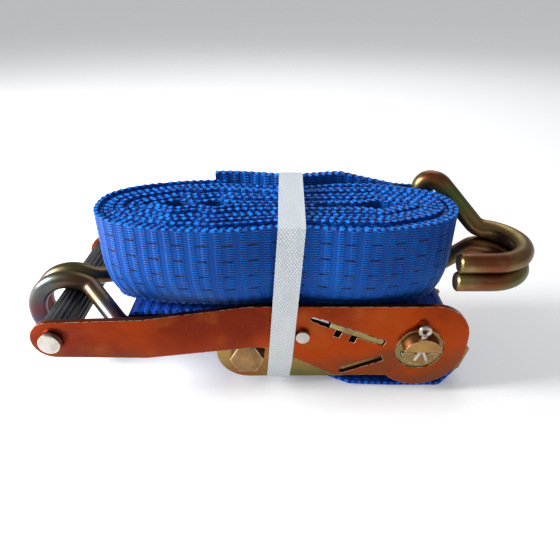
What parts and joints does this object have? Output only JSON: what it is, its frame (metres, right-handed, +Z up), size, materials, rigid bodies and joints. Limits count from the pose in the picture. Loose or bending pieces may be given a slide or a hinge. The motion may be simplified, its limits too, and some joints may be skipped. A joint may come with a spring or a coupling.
{
  "type": "ratchet tie down",
  "caption": "Ratchet strap tied up for the shelf: open ratchet lying down, rolled webbing on it held by a band, wire hooks at both ends.",
  "frame": {"origin": "bottom centre of the bounding box of the tied-up strap", "axes": "+X along the handle from grip to spindle, +Y along the spindle away from the near plate, +Z up"},
  "size_m": [0.2622, 0.1036, 0.1091],
  "materials": {
    "blade_steel": "red-brown passivated steel, satin with fine scratches",
    "wheel_steel": "yellow passivated cut steel",
    "spindle_steel": "dark bronze passivated bar",
    "pawl_steel": "olive passivated plate",
    "hook_wire": "olive and brown passivated drawn wire",
    "bolt_steel": "bronze passivated fastener",
    "axle_steel": "bright zinc",
    "spring_steel": "bright spring wire",
    "grip_plastic": "black ribbed",
    "webbing": "woven blue polyester webbing",
    "film": "thin translucent white woven band"
  },
  "bodies": {
    "handle": {"handle_plate_near": "blade_steel", "handle_plate_far": "blade_steel", "handle_axle": "axle_steel", "spacer_rivet": "bolt_steel", "spacer_tube": "pawl_steel", "handle_pawl_spring": "spring_steel", "short_strap": "webbing"},
    "frame": {"frame_plate_near": "blade_steel", "frame_plate_far": "blade_steel", "frame_cross_plate": "blade_steel", "anchor_bolt": "bolt_steel", "anchor_nut": "bolt_steel", "anchor_sleeve": "bolt_steel", "lock_pawl_spring": "spring_steel"},
    "spindle": {"spindle_half_upper": "spindle_steel", "spindle_half_lower": "spindle_steel", "ratchet_wheel_near": "wheel_steel", "ratchet_wheel_far": "wheel_steel", "cotter_pin_near": "axle_steel", "cotter_pin_far": "axle_steel"},
    "lock_pawl": {"lock_pawl": "pawl_steel"},
    "handle_pawl": {"handle_pawl": "pawl_steel"},
    "grip": {"grip": "grip_plastic"},
    "short_hook": {"short_hook": "hook_wire"},
    "long_strap": {"long_strap_roll": "webbing", "long_strap_end": "webbing", "band": "film"},
    "long_hook": {"long_hook": "hook_wire"}
  },
  "joints": [
    {"name": "frame_swing", "type": "hinge", "parent": "handle", "child": "frame", "pos_m": [0.07961, 0, 0.0305], "axis": [0, -1, 0], "range_deg": [0, 165], "deforming": ["short_strap", "band"]},
    {"name": "spindle_turn", "type": "hinge", "parent": "frame", "child": "spindle", "pos_m": [0.07961, 0, 0.0305], "axis": [0, 1, 0], "continuous": true},
    {"name": "lock_pawl_slide", "type": "slide", "parent": "frame", "child": "lock_pawl", "axis": [-0.9298, 0, -0.3681], "range_m": [0, 0.0045], "stiffness_N_per_m": 400, "springref_m": -0.004, "deforming": ["lock_pawl_spring"]},
    {"name": "handle_pawl_slide", "type": "slide", "parent": "handle", "child": "handle_pawl", "axis": [-0.9276, 0, 0.3735], "range_m": [0, 0.0045], "stiffness_N_per_m": 400, "springref_m": -0.004, "deforming": ["handle_pawl_spring"]},
    {"name": "grip_turn", "type": "hinge", "parent": "handle", "child": "grip", "pos_m": [-0.10489, 0, 0.043], "axis": [0, 1, 0], "continuous": true},
    {"name": "short_hook_swing", "type": "hinge", "parent": "handle", "child": "short_hook", "pos_m": [-0.06602, -0.008, 0.04051], "axis": [0, 1, 0], "range_deg": [0, 8]},
    {"name": "long_strap_lift", "type": "slide", "parent": "handle", "child": "long_strap", "axis": [0, 0, 1], "range_m": [0, 0.018]},
    {"name": "long_hook_swing", "type": "hinge", "parent": "long_strap", "child": "long_hook", "pos_m": [0.08211, 0.0125, 0.0769], "axis": [0, 0, 1], "range_deg": [0, 85]}
  ],
  "couplings": [
    {"joint": "long_strap_lift", "follows": "frame_swing", "m_per_rad": 0.0062}
  ]
}
